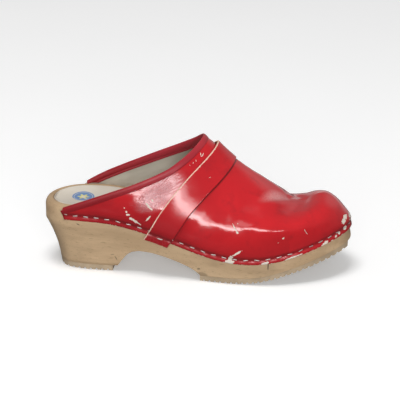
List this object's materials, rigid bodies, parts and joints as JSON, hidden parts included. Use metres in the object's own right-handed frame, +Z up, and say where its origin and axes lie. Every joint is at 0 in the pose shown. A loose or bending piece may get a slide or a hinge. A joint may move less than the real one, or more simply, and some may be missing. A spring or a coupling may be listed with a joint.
{
  "type": "clog",
  "caption": "Right-foot clog with a carved wooden heeled sole, glossy red leather upper, instep strap and stapled edge.",
  "frame": {"origin": "on the floor, under the middle of the clog's bounding box", "axes": "+X towards the toe, +Y towards the medial side (the other foot), +Z up"},
  "size_m": [0.2568, 0.1006, 0.1125],
  "materials": {
    "wood": "bare, worn smooth",
    "rubber": "matte",
    "insole_leather": "matte, worn",
    "red_leather": "glossy patent, chipped"
  },
  "bodies": {
    "root": {"sole": "wood", "tread_heel": "rubber", "tread_front": "rubber", "insole": "insole_leather", "upper": "red_leather", "strap": "red_leather", "binding": "red_leather"}
  },
  "joints": []
}
